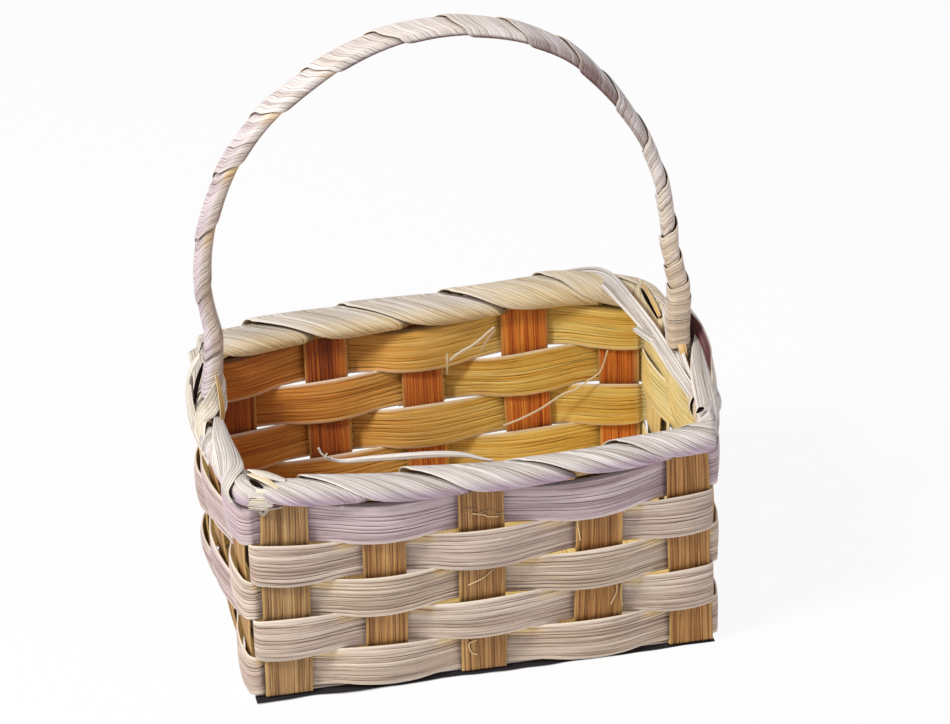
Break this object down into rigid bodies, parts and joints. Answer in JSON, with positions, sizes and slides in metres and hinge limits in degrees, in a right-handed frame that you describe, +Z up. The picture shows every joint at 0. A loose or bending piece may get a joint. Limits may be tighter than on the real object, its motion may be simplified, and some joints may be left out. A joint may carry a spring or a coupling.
{
  "type": "bamboo basket",
  "caption": "Rectangular basket plaited from broad flat bamboo splints, with a splint-wound rim and a fixed arched handle.",
  "frame": {"origin": "middle of the base, on the surface that the basket stands on", "axes": "+X along the basket and its handle, +Y towards the back wall, +Z up; -Y is the front wall"},
  "size_m": [0.2254, 0.1647, 0.273],
  "materials": {
    "stake_splint": "split bamboo, tan brown, dry and fibrous",
    "weaver_splint": "split bamboo, pale beige outside, golden brown inside, grooved lengthwise, low sheen",
    "rim_hoop": "split bamboo rod, tan, matt",
    "rim_splint": "split bamboo skin, near white with yellow streaks, satin",
    "handle_strip": "split bamboo strip, ochre, matt",
    "handle_splint": "split bamboo skin, near white outside, tan inside the arch, satin"
  },
  "bodies": {
    "root": {"cross_stake_1": "stake_splint", "cross_stake_2": "stake_splint", "cross_stake_3": "stake_splint", "cross_stake_4": "stake_splint", "cross_stake_5": "stake_splint", "long_stake_1": "stake_splint", "long_stake_2": "stake_splint", "long_stake_3": "stake_splint", "weaver_row_1": "weaver_splint", "weaver_row_2": "weaver_splint", "weaver_row_3": "weaver_splint", "weaver_row_4": "weaver_splint", "weaver_row_5": "weaver_splint", "rim_hoop_outer": "rim_hoop", "rim_hoop_inner": "rim_hoop", "rim_wrap_front": "rim_splint", "rim_wrap_back": "rim_splint", "handle_lashing_left": "rim_splint", "handle_lashing_right": "rim_splint", "handle_core": "handle_strip", "handle_wrap": "handle_splint"}
  },
  "joints": []
}
